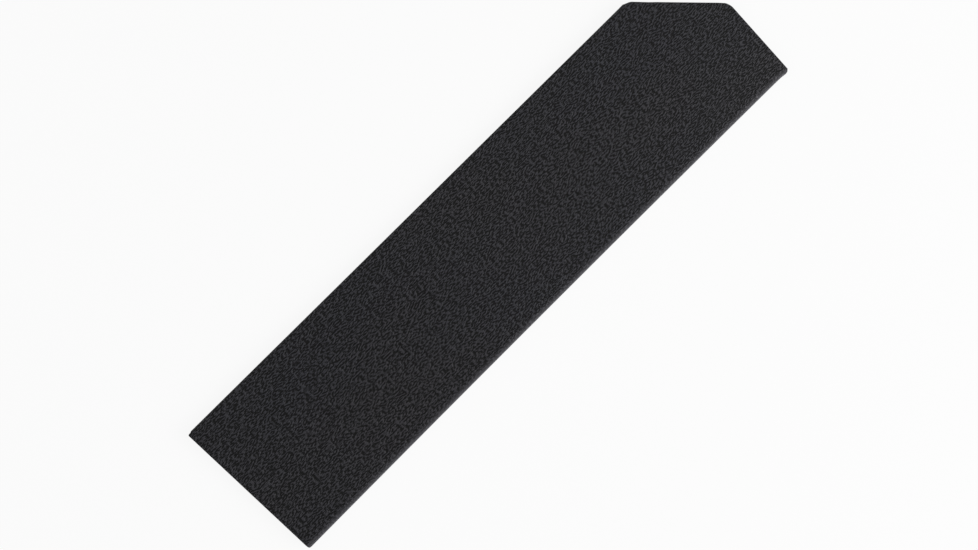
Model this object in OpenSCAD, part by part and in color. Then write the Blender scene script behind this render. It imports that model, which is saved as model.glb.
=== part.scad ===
// Felt-lined knife blade guard: one embossed plastic sheet, lined with felt, folded in half along
// the cutting-edge side and left open along the spine side, with a sloped corner at the tip.
// Frame: +X from the heel end to the tip end, +Y from the fold to the open edge, +Z up through
// the two leaves. The origin is the middle of the guard's footprint, on the surface it lies on.

/* [Outline] */
// Length of the guard, from the heel end to the tip end
guard_length = 216; // [150:1:320]
// Width of the guard, from the outside of the fold to the open edge
guard_width = 52.3; // [45:0.1:75]
// Length of the sloped corner, measured along the guard
slope_length = 24; // [8:0.5:60]
// Depth of the sloped corner, measured across the guard
slope_depth = 23; // [8:0.5:34]

/* [Layers] */
// Thickness of the embossed plastic sheet
sheet_thickness = 1; // [0.6:0.1:1.6]
// Thickness of the felt lining on each leaf
felt_thickness = 0.8; // [0.5:0.1:1.5]
// Thickness of the adhesive film that bonds the felt to the sheet
film_thickness = 0.1; // [0.05:0.05:0.3]
// Gap that is left between the two felt faces when the guard is closed
blade_gap = 0.4; // [0.2:0.1:1.2]

/* [Edges] */
// How far the felt stops short of the cut edge of the sheet
felt_setback = 0.3; // [0:0.1:2]
// How far the adhesive film stops short of the cut edge of the sheet
film_setback = 1; // [0.5:0.5:5]

/* [Corners] */
// Corner radius where the heel end meets the open edge
heel_open_radius = 0.5; // [0.2:0.1:6]
// Corner radius where the open edge meets the slope
slope_start_radius = 4.5; // [0.5:0.5:10]
// Corner radius where the slope meets the tip end
slope_end_radius = 5.5; // [0.5:0.5:10]
// Corner radius where the tip end meets the fold
tip_fold_radius = 1.7; // [0.2:0.1:1.8]
// Corner radius where the heel end meets the fold
heel_fold_radius = 0.8; // [0.2:0.1:1.8]

/* [Hidden] */
$fn = 96;

// Plastic, adhesive and felt on one leaf, from its outside face to its felt face
leaf_thickness = sheet_thickness + film_thickness + felt_thickness;
// The fold is a half round: its outside radius is one leaf and half of the blade gap
fold_radius = leaf_thickness + blade_gap / 2;
stack_height = 2 * fold_radius;
// The fold's centre line is the axis that the front leaf turns about
fold_axis_y = fold_radius - guard_width / 2;
fold_axis_z = fold_radius;
// The felt turns loose inside the fold, clear of the plastic by the missing adhesive film
felt_fold_inner_radius = blade_gap / 2;
felt_fold_radius = felt_fold_inner_radius + felt_thickness;
// Length that safely spans the guard in any direction, for cutting tools
reach = guard_length + guard_width;
smallest_radius = 0.1;

SHEET_COLOUR = "#29292b";
FELT_COLOUR = "#161618";
FILM_COLOUR = "#cfcdc4";

// Corners of the guard seen from above, anticlockwise from the heel end of the fold: [x, y, radius]
guard_corners = [
    [-guard_length / 2, -guard_width / 2, heel_fold_radius],
    [guard_length / 2, -guard_width / 2, tip_fold_radius],
    [guard_length / 2, guard_width / 2 - slope_depth, slope_end_radius],
    [guard_length / 2 - slope_length, guard_width / 2, slope_start_radius],
    [-guard_length / 2, guard_width / 2, heel_open_radius]
];

function plan_point(corner) = [corner[0], corner[1]];
function unit(vector) = vector / norm(vector);
function corner_at(corners, i) = corners[(i + len(corners)) % len(corners)];
function towards(corners, i, step) =
    unit(plan_point(corner_at(corners, i + step)) - plan_point(corners[i]));
// Half of the angle between the two edges that meet at corner i
function half_angle(corners, i) =
    acos(towards(corners, i, -1) * towards(corners, i, 1)) / 2;
function inward(corners, i) =
    unit(towards(corners, i, -1) + towards(corners, i, 1));
// The same corners with every edge moved in by the setback, and the radii kept concentric
function set_back(corners, setback) = [
    for (i = [0 : len(corners) - 1])
        let (moved = plan_point(corners[i])
                + inward(corners, i) * setback / sin(half_angle(corners, i)))
        [moved[0], moved[1], max(corners[i][2] - setback, smallest_radius)]
];
function round_centre(corners, i) =
    plan_point(corners[i]) + inward(corners, i) * corners[i][2] / sin(half_angle(corners, i));
function tangent_point(corners, i, step) =
    plan_point(corners[i]) + towards(corners, i, step) * corners[i][2] / tan(half_angle(corners, i));

// Flat outline with a true arc at each corner
module rounded_outline(corners) {
    polygon([
        for (i = [0 : len(corners) - 1], step = [-1, 1]) tangent_point(corners, i, step)
    ]);
    for (i = [0 : len(corners) - 1])
        translate(round_centre(corners, i)) circle(r = corners[i][2]);
}

// The guard's outline as a column that is tall enough to trim any layer to it
module outline_column(setback) {
    translate([0, 0, -reach / 2])
        linear_extrude(height = reach)
            rounded_outline(set_back(guard_corners, setback));
}

// One flat layer of a leaf: it starts at the fold's centre line, where the half round ends
module leaf_layer(bottom, thickness, setback) {
    intersection() {
        outline_column(setback);
        translate([-reach / 2, fold_axis_y, bottom]) cube([reach, reach, thickness]);
    }
}

// One half-round layer of the fold, along the whole guard
module fold_layer(outer_radius, inner_radius, setback) {
    intersection() {
        outline_column(setback);
        translate([-reach / 2, fold_axis_y - outer_radius, 0])
            cube([reach, outer_radius, stack_height]);
        translate([-reach / 2, fold_axis_y, fold_axis_z])
            rotate([0, 90, 0])
                difference() {
                    cylinder(r = outer_radius, h = reach);
                    translate([0, 0, -1]) cylinder(r = inner_radius, h = reach + 2);
                }
    }
}

// Lower half of the folded sheet, which lies on the table
module shell_back_leaf() {
    color(SHEET_COLOUR) leaf_layer(0, sheet_thickness, 0);
}

// Upper half of the folded sheet, the face that is seen
module shell_front_leaf() {
    color(SHEET_COLOUR) leaf_layer(stack_height - sheet_thickness, sheet_thickness, 0);
}

// The sheet where it bends: the living hinge and spring between the two leaves
module shell_fold() {
    color(SHEET_COLOUR) fold_layer(fold_radius, fold_radius - sheet_thickness, 0);
}

// Film between the lower leaf and its felt
module adhesive_back() {
    color(FILM_COLOUR) leaf_layer(sheet_thickness, film_thickness, film_setback);
}

// Film between the upper leaf and its felt
module adhesive_front() {
    color(FILM_COLOUR)
        leaf_layer(stack_height - sheet_thickness - film_thickness, film_thickness, film_setback);
}

// Felt on the lower leaf, facing up
module felt_back_leaf() {
    color(FELT_COLOUR)
        leaf_layer(sheet_thickness + film_thickness, felt_thickness, felt_setback);
}

// Felt on the upper leaf, facing down
module felt_front_leaf() {
    color(FELT_COLOUR)
        leaf_layer(stack_height - leaf_thickness, felt_thickness, felt_setback);
}

// Felt where it turns inside the fold: the bed that the cutting edge rests against
module felt_fold() {
    color(FELT_COLOUR) fold_layer(felt_fold_radius, felt_fold_inner_radius, felt_setback);
}

shell_back_leaf();
shell_fold();
shell_front_leaf();
felt_back_leaf();
felt_fold();
felt_front_leaf();
adhesive_back();
adhesive_front();
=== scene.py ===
import math

import bpy
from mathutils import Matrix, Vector


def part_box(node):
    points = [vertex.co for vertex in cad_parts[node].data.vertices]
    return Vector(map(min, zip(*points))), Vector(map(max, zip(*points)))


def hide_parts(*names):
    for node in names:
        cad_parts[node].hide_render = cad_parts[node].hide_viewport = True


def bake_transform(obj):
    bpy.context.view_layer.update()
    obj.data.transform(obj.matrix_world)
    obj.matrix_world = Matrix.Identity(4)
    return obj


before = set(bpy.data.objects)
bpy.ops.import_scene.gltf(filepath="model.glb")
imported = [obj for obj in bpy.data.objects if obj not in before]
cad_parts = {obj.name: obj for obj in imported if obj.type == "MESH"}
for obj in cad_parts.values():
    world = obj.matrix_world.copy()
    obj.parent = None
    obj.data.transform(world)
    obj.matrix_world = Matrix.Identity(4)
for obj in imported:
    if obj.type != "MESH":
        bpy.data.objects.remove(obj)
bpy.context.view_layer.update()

# Camera: the guard lies flat and is seen from above, from a little over a third of a metre away,
# running from the lower left of the picture to the upper right.
MM = 0.001
bpy.ops.object.select_all(action="DESELECT")
bpy.ops.object.camera_add(
    location=(-22.96 * MM, 54.65 * MM, 377.3 * MM),
    rotation=[math.radians(turn) for turn in (-4.757, -8.021, -44.313)],
)
camera = bpy.context.object
camera.name = "camera"
camera.data.sensor_width = 36
camera.data.lens = 44.17
bpy.context.scene.camera = camera
bpy.context.scene.view_settings.view_transform = "Standard"

# Studio table: a wide matt white sheet under the guard. It keeps a faint shadow, and to the camera
# it is the same white as the room behind it.
TABLE_SIZE = 6.0
TABLE_DROP = 0.02 * MM
TABLE_WHITENESS_TO_CAMERA = 0.9
TABLE_WHITE = (0.9, 0.9, 0.9, 1)
PURE_WHITE = (1, 1, 1, 1)


def new_material(name):
    """An empty node material, and its node tree."""
    material = bpy.data.materials.new(name)
    material.use_nodes = True
    material.node_tree.nodes.clear()
    return material, material.node_tree


def add_node(tree, kind, inputs=None, **settings):
    """Adds a node. An input is a plain value, or the socket of another node that feeds it."""
    node = tree.nodes.new(kind)
    for name, value in settings.items():
        setattr(node, name, value)
    for name, value in (inputs or {}).items():
        if isinstance(value, bpy.types.NodeSocket):
            tree.links.new(value, node.inputs[name])
        else:
            node.inputs[name].default_value = value
    return node


bpy.ops.object.select_all(action="DESELECT")
bpy.ops.mesh.primitive_plane_add(size=TABLE_SIZE, location=(0, 0, -TABLE_DROP))
table = bpy.context.object
table.name = "table"
table_paper, tree = new_material("table paper")
diffuse = add_node(tree, "ShaderNodeBsdfDiffuse", {"Color": TABLE_WHITE})
glow = add_node(tree, "ShaderNodeEmission", {"Color": PURE_WHITE, "Strength": 1.0})
rays = add_node(tree, "ShaderNodeLightPath")
share = add_node(
    tree, "ShaderNodeMath",
    {0: rays.outputs["Is Camera Ray"], 1: TABLE_WHITENESS_TO_CAMERA}, operation="MULTIPLY",
)
mixed = add_node(
    tree, "ShaderNodeMixShader",
    {0: share.outputs[0], 1: diffuse.outputs[0], 2: glow.outputs[0]},
)
add_node(tree, "ShaderNodeOutputMaterial", {"Surface": mixed.outputs[0]})
table.data.materials.append(table_paper)

# Studio light: a pale room, one large softbox past the tip on the fold side and a weaker one past
# the heel. They are far larger than the guard, so no hard highlight falls on the grain.
ROOM_LEVEL = 0.3
SOFTBOX_SIZE = 0.7
world = bpy.data.worlds.new("room")
bpy.context.scene.world = world
world.use_nodes = True
world.node_tree.nodes.clear()
rays = add_node(world.node_tree, "ShaderNodeLightPath")
level = add_node(
    world.node_tree, "ShaderNodeMapRange",
    {"Value": rays.outputs["Is Camera Ray"], "To Min": ROOM_LEVEL, "To Max": 1.0},
)
room = add_node(
    world.node_tree, "ShaderNodeBackground",
    {"Color": PURE_WHITE, "Strength": level.outputs[0]},
)
add_node(world.node_tree, "ShaderNodeOutputWorld", {"Surface": room.outputs[0]})
for name, place, power in (
    ("softbox tip end", (0.42, -0.5, 0.5), 4.9),
    ("softbox heel end", (-0.55, 0.25, 0.8), 1.3),
):
    facing_the_guard = Vector(place).to_track_quat("Z", "Y").to_euler()
    bpy.ops.object.light_add(type="AREA", location=place, rotation=facing_the_guard)
    lamp = bpy.context.object
    lamp.name = name
    lamp.data.size = SOFTBOX_SIZE
    lamp.data.energy = power

# Shell: one sheet of black plastic with a leather grain pressed into both faces. It is die-cut,
# warmed along its middle and folded over, and its memory of the fold presses the leaves shut.
lower_leaf_low, lower_leaf_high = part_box("shell_back_leaf")
fold_low, fold_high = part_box("shell_fold")
GUARD_HALF_LENGTH = fold_high.x
GUARD_HALF_WIDTH = lower_leaf_high.y
SHEET_THICKNESS = lower_leaf_high.z - lower_leaf_low.z
FOLD_RADIUS = (fold_high.z - fold_low.z) / 2
FOLD_AXIS_Y = fold_high.y
FOLD_AXIS_Z = fold_low.z + FOLD_RADIUS
SLOPE_LENGTH = 24 * MM
SLOPE_DEPTH = 23 * MM
CORNERS = (
    (-GUARD_HALF_LENGTH, -GUARD_HALF_WIDTH, 0.8 * MM),
    (GUARD_HALF_LENGTH, -GUARD_HALF_WIDTH, 1.7 * MM),
    (GUARD_HALF_LENGTH, GUARD_HALF_WIDTH - SLOPE_DEPTH, 5.5 * MM),
    (GUARD_HALF_LENGTH - SLOPE_LENGTH, GUARD_HALF_WIDTH, 4.5 * MM),
    (-GUARD_HALF_LENGTH, GUARD_HALF_WIDTH, 0.5 * MM),
)
# The fold itself isn't trimmed: its bend already ends the sheet there
FOLD_SIDE_ANGLE_SINE = -0.999
MESH_CELL = 2 * MM
TRIM_MARGIN = 3 * MM
FOLD_STEPS = 18
ARC_STEP = 0.8 * MM
FEWEST_ARC_STEPS = 3
WELD = 0.1 * MM
EDGE_ROUNDING = 0.35 * MM
EDGE_ROUNDING_STEPS = 2
SHARP_EDGE = math.radians(55)
SMOOTH_SHADING_LIMIT = math.radians(35)
FOLD_BOW = 0.4 * MM
FOLD_END_SPREAD = 0.25 * MM
BOW_REACH = 26 * MM
TIP_FLARE = 0.35 * MM
TIP_FLARE_REACH = 4 * MM
LOWER_LEAF_SLIP = 0.35 * MM


def smooth_step(value):
    """0 up to 0, 1 from 1 on, and a smooth rise between."""
    value = min(max(value, 0.0), 1.0)
    return value * value * (3 - 2 * value)


def cut_planes(setback):
    """Upright planes that trim a sheet to the guard's outline, as (x, y, outward angle)."""
    planes = []
    for i, (x, y, radius) in enumerate(CORNERS):
        before = CORNERS[i - 1]
        after = CORNERS[(i + 1) % len(CORNERS)]
        first = math.atan2(y - before[1], x - before[0]) - math.pi / 2
        last = math.atan2(after[1] - y, after[0] - x) - math.pi / 2
        turn = (last - first) % (2 * math.pi)
        middle = first + turn / 2
        inset = radius / math.cos(turn / 2)
        centre_x = x - inset * math.cos(middle)
        centre_y = y - inset * math.sin(middle)
        steps = max(FEWEST_ARC_STEPS, round(radius * turn / ARC_STEP))
        for step in range(steps + 1):
            angle = first + turn * step / steps
            if math.sin(angle) < FOLD_SIDE_ANGLE_SINE:
                continue
            reach = radius - setback
            planes.append((
                centre_x + reach * math.cos(angle), centre_y + reach * math.sin(angle), angle
            ))
    return planes


def select_vertices(piece, wanted):
    """Selects the vertices whose place meets the test, in edit mode."""
    bpy.ops.mesh.select_all(action="DESELECT")
    bpy.ops.object.mode_set(mode="OBJECT")
    for vertex in piece.data.vertices:
        vertex.select = wanted(vertex.co)
    bpy.ops.object.mode_set(mode="EDIT")


def folded_sheet(name, radius, thickness, setback):
    """A sheet of that thickness, folded about the fold's axis and trimmed to the outline."""
    length = 2 * (GUARD_HALF_LENGTH + TRIM_MARGIN)
    depth = GUARD_HALF_WIDTH + TRIM_MARGIN - FOLD_AXIS_Y
    bpy.ops.object.select_all(action="DESELECT")
    bpy.ops.mesh.primitive_grid_add(
        size=1, x_subdivisions=round(length / MESH_CELL), y_subdivisions=round(depth / MESH_CELL),
        location=(0, FOLD_AXIS_Y + depth / 2, FOLD_AXIS_Z - radius),
    )
    piece = bpy.context.object
    piece.name = name
    piece.scale = (length, depth, 1)
    bpy.ops.object.transform_apply(location=True, rotation=True, scale=True)
    bpy.ops.object.mode_set(mode="EDIT")
    bpy.ops.mesh.select_mode(type="VERT")
    bpy.ops.mesh.select_all(action="SELECT")
    bpy.ops.mesh.duplicate_move(TRANSFORM_OT_translate={"value": (0, 0, 2 * radius)})
    select_vertices(
        piece, lambda at: abs(at.y - FOLD_AXIS_Y) < WELD and at.z < FOLD_AXIS_Z
    )
    bpy.ops.mesh.spin(
        steps=FOLD_STEPS, angle=math.pi, center=(0, FOLD_AXIS_Y, FOLD_AXIS_Z), axis=(1, 0, 0)
    )
    bpy.ops.mesh.select_all(action="SELECT")
    bpy.ops.mesh.remove_doubles(threshold=WELD / 10)
    for x, y, angle in cut_planes(setback):
        bpy.ops.mesh.select_all(action="SELECT")
        bpy.ops.mesh.bisect(
            plane_co=(x, y, 0), plane_no=(math.cos(angle), math.sin(angle), 0), clear_outer=True
        )
    bpy.ops.mesh.select_all(action="SELECT")
    bpy.ops.mesh.remove_doubles(threshold=WELD)
    bpy.ops.mesh.normals_make_consistent(inside=False)
    bpy.ops.object.mode_set(mode="OBJECT")
    top = max(piece.data.polygons, key=lambda face: face.center.z)
    if top.normal.z < 0:
        piece.data.flip_normals()
    bpy.ops.object.modifier_add(type="SOLIDIFY")
    wall = piece.modifiers[-1]
    wall.thickness = thickness
    wall.offset = -1
    wall.use_even_offset = True
    wall.material_offset_rim = 1
    bpy.ops.object.modifier_apply(modifier=wall.name)
    bpy.ops.object.modifier_add(type="BEVEL")
    rounding = piece.modifiers[-1]
    rounding.width = EDGE_ROUNDING
    rounding.segments = EDGE_ROUNDING_STEPS
    rounding.limit_method = "ANGLE"
    rounding.angle_limit = SHARP_EDGE
    bpy.ops.object.modifier_apply(modifier=rounding.name)
    bpy.ops.object.shade_smooth_by_angle(angle=SMOOTH_SHADING_LIMIT)
    return piece


def unroll(piece, radius):
    """Gives the sheet a UV map of itself laid flat: U along the guard, V round the fold."""
    while piece.data.uv_layers:
        piece.data.uv_layers.remove(piece.data.uv_layers[0])
    layer = piece.data.uv_layers.new(name="flat")
    for loop in piece.data.loops:
        at = piece.data.vertices[loop.vertex_index].co
        beyond = at.y - FOLD_AXIS_Y
        if beyond > 0:
            side = 1 if at.z > FOLD_AXIS_Z else -1
            across = side * (beyond + radius * math.pi / 2)
        else:
            across = radius * math.atan2(at.z - FOLD_AXIS_Z, -beyond)
        layer.data[loop.index].uv = (at.x, across)


def settle(piece):
    """The small faults of a real folded sheet: a bowed fold, a flared tip and a slipped leaf."""
    for vertex in piece.data.vertices:
        at = vertex.co
        near_fold = 1 - smooth_step((at.y - FOLD_AXIS_Y) / BOW_REACH)
        bow = FOLD_BOW * (1 - (at.x / GUARD_HALF_LENGTH) ** 2) - FOLD_END_SPREAD
        flare = TIP_FLARE * smooth_step(1 - (GUARD_HALF_LENGTH - at.x) / TIP_FLARE_REACH)
        lowness = (FOLD_AXIS_Z + FOLD_RADIUS - at.z) / (2 * FOLD_RADIUS)
        at.y += near_fold * (bow - flare)
        at.x += LOWER_LEAF_SLIP * smooth_step(lowness)
    piece.data.update()


def flat_coordinates(tree, stretch=1.0):
    """Places on the unrolled sheet in millimetres, drawn out along the guard by stretch."""
    flat = add_node(tree, "ShaderNodeUVMap", uv_map="flat")
    return add_node(
        tree, "ShaderNodeMapping",
        {"Vector": flat.outputs[0], "Scale": (1 / MM / stretch, 1 / MM, 1 / MM)},
    ).outputs[0]


def noise(tree, place, scale, detail=2.0, roughness=0.5):
    """A noise texture's value and its colour, as output sockets."""
    node = add_node(
        tree, "ShaderNodeTexNoise",
        {"Vector": place, "Scale": scale, "Detail": detail, "Roughness": roughness},
    )
    return node.outputs[0], node.outputs[1]


def remap(tree, value, low, high, to_low=0.0, to_high=1.0):
    """A value from low to high, moved to the range from to_low to to_high, and held there."""
    return add_node(
        tree, "ShaderNodeMapRange",
        {"Value": value, "From Min": low, "From Max": high, "To Min": to_low, "To Max": to_high},
    ).outputs[0]


def arithmetic(tree, operation, first, second):
    """One step of arithmetic on two values."""
    return add_node(tree, "ShaderNodeMath", {0: first, 1: second}, operation=operation).outputs[0]


def blend_colours(tree, share, first, second):
    """The first colour at share 0, the second at share 1."""
    node = add_node(tree, "ShaderNodeMix", data_type="RGBA")
    for socket, value in ((node.inputs[0], share), (node.inputs[6], first), (node.inputs[7], second)):
        if isinstance(value, bpy.types.NodeSocket):
            tree.links.new(value, socket)
        else:
            socket.default_value = value
    return node.outputs[2]


# How often each feature of the grain comes, per millimetre of the unrolled sheet
WRINKLES = 2.35
PEBBLES = 0.8
PORES = 6.0
DRIFT = 0.45
PATCHES = 0.035
# How far the grain is drawn out along the guard, and what each feature adds to its relief
GRAIN_STRETCH = 2.3
DRIFT_REACH_MM = 0.6
PEBBLE_RIM = 0.32
WRINKLE_SHARE = 0.8
PEBBLE_SHARE = 0.1
PORE_SHARE = 0.1
GRAIN_DEPTH = 0.28 * MM
# The plastic's colours, with painted shade in the creases and a painted highlight on the ridges, and
# how far from the middle of the fold it is rubbed pale and painted with a highlight
CREASE_PAINTED_SHADE_COLOUR = (0.0008, 0.0008, 0.0010, 1)
COOL_TONE_RIDGE_HIGHLIGHT_COLOUR = (0.0365, 0.0368, 0.0440, 1)
WARM_TONE_RIDGE_HIGHLIGHT_COLOUR = (0.0410, 0.0395, 0.0448, 1)
RUBBED_AND_HIGHLIGHT_COLOUR = (0.130, 0.127, 0.143, 1)
RUBBED_AND_HIGHLIGHT_FROM_MM = 3.8
RUBBED_AND_HIGHLIGHT_FULLY_MM = 0.6
RUBBED_AND_HIGHLIGHT_FALLOFF = 1.5
PLASTIC_SPECULAR = 0.25


def leather_grain_plastic():
    """Pressed leather grain: short wrinkles drawn out along the guard, with painted shade in the
    creases and a painted highlight on the ridges, rubbed pale and painted with a highlight on the
    fold.
    """
    material, tree = new_material("leather grain plastic")
    place = flat_coordinates(tree, stretch=GRAIN_STRETCH)
    _, drift = noise(tree, place, DRIFT, detail=3.0)
    centred = add_node(
        tree, "ShaderNodeVectorMath", {0: drift, 1: (0.5, 0.5, 0.5)}, operation="SUBTRACT"
    )
    swing = add_node(
        tree, "ShaderNodeVectorMath", {0: centred.outputs[0], "Scale": DRIFT_REACH_MM},
        operation="SCALE",
    )
    warped = add_node(
        tree, "ShaderNodeVectorMath", {0: place, 1: swing.outputs[0]}, operation="ADD"
    ).outputs[0]
    pebbles = add_node(
        tree, "ShaderNodeTexVoronoi", {"Vector": warped, "Scale": PEBBLES},
        feature="DISTANCE_TO_EDGE",
    ).outputs[0]
    plump = remap(tree, pebbles, 0.0, PEBBLE_RIM)
    folds, _ = noise(tree, warped, WRINKLES, detail=0.0)
    wrinkles = remap(tree, folds, 0.36, 0.64)
    pores, _ = noise(tree, place, PORES, detail=2.0)
    relief = arithmetic(
        tree, "ADD", arithmetic(tree, "MULTIPLY", wrinkles, WRINKLE_SHARE),
        arithmetic(
            tree, "ADD", arithmetic(tree, "MULTIPLY", plump, PEBBLE_SHARE),
            arithmetic(tree, "MULTIPLY", pores, PORE_SHARE),
        ),
    )
    bump = add_node(
        tree, "ShaderNodeBump", {"Height": relief, "Strength": 1.0, "Distance": GRAIN_DEPTH}
    )
    patches, _ = noise(tree, place, PATCHES, detail=2.0)
    # The ridges carry the plastic's own cool and warm tones, lightened as a painted highlight
    ridge_tone_and_highlight = blend_colours(
        tree, remap(tree, patches, 0.35, 0.65), COOL_TONE_RIDGE_HIGHLIGHT_COLOUR, WARM_TONE_RIDGE_HIGHLIGHT_COLOUR
    )
    # Painted shade: the creases of the relief are coloured near black, where shade falls between the
    # ridges
    grain_tone_with_painted_shade = blend_colours(tree, remap(tree, relief, 0.22, 0.78), CREASE_PAINTED_SHADE_COLOUR, ridge_tone_and_highlight)
    # The pale violet-grey band along the fold is partly rubbing and partly a painted highlight of the
    # rounded fold
    across = add_node(tree, "ShaderNodeSeparateXYZ", {0: flat_coordinates(tree)}).outputs[1]
    distance = arithmetic(tree, "ABSOLUTE", across, 0.0)
    nearness = remap(tree, distance, RUBBED_AND_HIGHLIGHT_FROM_MM, RUBBED_AND_HIGHLIGHT_FULLY_MM)
    rubbed_and_highlight = arithmetic(tree, "POWER", nearness, RUBBED_AND_HIGHLIGHT_FALLOFF)
    colour = blend_colours(tree, rubbed_and_highlight, grain_tone_with_painted_shade, RUBBED_AND_HIGHLIGHT_COLOUR)
    surface = add_node(tree, "ShaderNodeBsdfPrincipled", {
        "Base Color": colour, "Roughness": remap(tree, relief, 0.2, 0.85, 0.6, 0.42),
        "Normal": bump.outputs[0], "Specular IOR Level": PLASTIC_SPECULAR,
    })
    add_node(tree, "ShaderNodeOutputMaterial", {"Surface": surface.outputs[0]})
    return material


DIE_MARKS = (4 / MM, 4 / MM, 0.6 / MM)
DIE_MARK_DEPTH = 0.04 * MM
DIE_MARK_STRENGTH = 0.2
# The cut edge's colours: the plastic's own dark tone, darkened further as painted shade along the
# edge
CUT_TONE_AND_SHADE_COLOUR = (0.003, 0.003, 0.003, 1)
CUT_MARK_TONE_AND_SHADE_COLOUR = (0.006, 0.006, 0.006, 1)


def die_cut_plastic():
    """The cut edge: smoother than the faces, with fine marks left by the die, and darker than the
    faces, partly its own colour and partly painted shade.
    """
    material, tree = new_material("die cut plastic")
    object_place = add_node(tree, "ShaderNodeTexCoord").outputs["Object"]
    place = add_node(
        tree, "ShaderNodeMapping", {"Vector": object_place, "Scale": DIE_MARKS}
    ).outputs[0]
    marks, _ = noise(tree, place, 1.0, detail=3.0)
    bump = add_node(
        tree, "ShaderNodeBump",
        {"Height": marks, "Strength": DIE_MARK_STRENGTH, "Distance": DIE_MARK_DEPTH},
    )
    colour = blend_colours(tree, marks, CUT_TONE_AND_SHADE_COLOUR, CUT_MARK_TONE_AND_SHADE_COLOUR)
    surface = add_node(tree, "ShaderNodeBsdfPrincipled", {
        "Base Color": colour, "Roughness": remap(tree, marks, 0.3, 0.7, 0.4, 0.52),
        "Normal": bump.outputs[0], "Specular IOR Level": PLASTIC_SPECULAR,
    })
    add_node(tree, "ShaderNodeOutputMaterial", {"Surface": surface.outputs[0]})
    return material


# A face this far from level is part of a cut edge, unless it is the outside of the fold
LEVEL_FACE = 0.97
FOLD_FACE = 0.25

shell = folded_sheet("shell", FOLD_RADIUS, SHEET_THICKNESS, 0.0)
shell.data.materials.append(leather_grain_plastic())
shell.data.materials.append(die_cut_plastic())
for face in shell.data.polygons:
    cut_side = abs(face.normal.z) < LEVEL_FACE
    on_fold = face.center.y < FOLD_AXIS_Y and abs(face.normal.x) < FOLD_FACE
    face.material_index = 1 if cut_side and not on_fold else 0
unroll(shell, FOLD_RADIUS)
settle(shell)
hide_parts("shell_back_leaf", "shell_fold", "shell_front_leaf")
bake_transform(shell)

# Lining: one sheet of black needle felt. It is glued to the two leaves and turns loose inside the
# fold, where it makes the bed that the cutting edge rests on. It stops just short of the cut edge.
felt_fold_low, felt_fold_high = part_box("felt_fold")
FELT_FOLD_RADIUS = (felt_fold_high.z - felt_fold_low.z) / 2
FELT_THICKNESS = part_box("felt_back_leaf")[1].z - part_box("felt_back_leaf")[0].z
FELT_SETBACK = GUARD_HALF_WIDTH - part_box("felt_back_leaf")[1].y
# How often the fibres and the matted tufts come, per millimetre, and what each adds to the pile
FIBRES = 7.0
FIBRE_STRETCH = 5.0
TUFTS = 2.2
FIBRE_SHARE = 0.5
TUFT_SHARE = 0.7
PILE_DEPTH = 0.22 * MM
FELT_SHADOW_COLOUR = (0.004, 0.004, 0.005, 1)
FELT_NAP_COLOUR = (0.020, 0.020, 0.022, 1)


def needle_felt():
    """Black felt: matted fibres that run every way, with a dusty sheen on the nap."""
    material, tree = new_material("needle felt")
    place = flat_coordinates(tree)
    drawn_out = flat_coordinates(tree, stretch=FIBRE_STRETCH)
    fibres, _ = noise(tree, drawn_out, FIBRES, detail=4.0, roughness=0.7)
    tufts, _ = noise(tree, place, TUFTS, detail=5.0, roughness=0.65)
    pile = arithmetic(
        tree, "ADD", arithmetic(tree, "MULTIPLY", fibres, FIBRE_SHARE),
        arithmetic(tree, "MULTIPLY", tufts, TUFT_SHARE),
    )
    bump = add_node(
        tree, "ShaderNodeBump", {"Height": pile, "Strength": 0.9, "Distance": PILE_DEPTH}
    )
    colour = blend_colours(
        tree, remap(tree, pile, 0.4, 0.8), FELT_SHADOW_COLOUR, FELT_NAP_COLOUR
    )
    surface = add_node(tree, "ShaderNodeBsdfPrincipled", {
        "Base Color": colour, "Roughness": 0.95, "Specular IOR Level": 0.15,
        "Sheen Weight": 0.25, "Sheen Roughness": 0.6, "Normal": bump.outputs[0],
    })
    add_node(tree, "ShaderNodeOutputMaterial", {"Surface": surface.outputs[0]})
    return material


lining = folded_sheet("felt_lining", FELT_FOLD_RADIUS, FELT_THICKNESS, FELT_SETBACK)
lining.data.materials.append(needle_felt())
unroll(lining, FELT_FOLD_RADIUS)
settle(lining)
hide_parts("felt_back_leaf", "felt_fold", "felt_front_leaf")
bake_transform(lining)

# Adhesive: a thin film on each leaf that bonds the felt to the plastic. It stops a millimetre short
# of the edge, so that none of it squeezes out, and it is milky where air is caught in it.
BUBBLES = 0.5 / MM
CLOUDS = 0.2 / MM
BUBBLE_DEPTH = 0.02 * MM
CLEAR_FILM_COLOUR = (0.30, 0.29, 0.26, 1)
MILKY_FILM_COLOUR = (0.60, 0.59, 0.54, 1)


def adhesive_film():
    """Milky film with small trapped bubbles."""
    material, tree = new_material("adhesive film")
    object_place = add_node(tree, "ShaderNodeTexCoord").outputs["Object"]
    bubbles = add_node(
        tree, "ShaderNodeTexVoronoi", {"Vector": object_place, "Scale": BUBBLES}
    ).outputs[0]
    milk, _ = noise(tree, object_place, CLOUDS, detail=3.0)
    clouded = arithmetic(tree, "MULTIPLY", milk, remap(tree, bubbles, 0.0, 0.25))
    colour = blend_colours(tree, clouded, CLEAR_FILM_COLOUR, MILKY_FILM_COLOUR)
    bump = add_node(
        tree, "ShaderNodeBump", {"Height": bubbles, "Strength": 0.3, "Distance": BUBBLE_DEPTH}
    )
    surface = add_node(tree, "ShaderNodeBsdfPrincipled", {
        "Base Color": colour, "Roughness": remap(tree, milk, 0.3, 0.7, 0.2, 0.35),
        "Normal": bump.outputs[0],
    })
    add_node(tree, "ShaderNodeOutputMaterial", {"Surface": surface.outputs[0]})
    return material


film = adhesive_film()
for node_name in ("adhesive_back", "adhesive_front"):
    film_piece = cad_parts[node_name]
    film_piece.data.materials.clear()
    film_piece.data.materials.append(film)
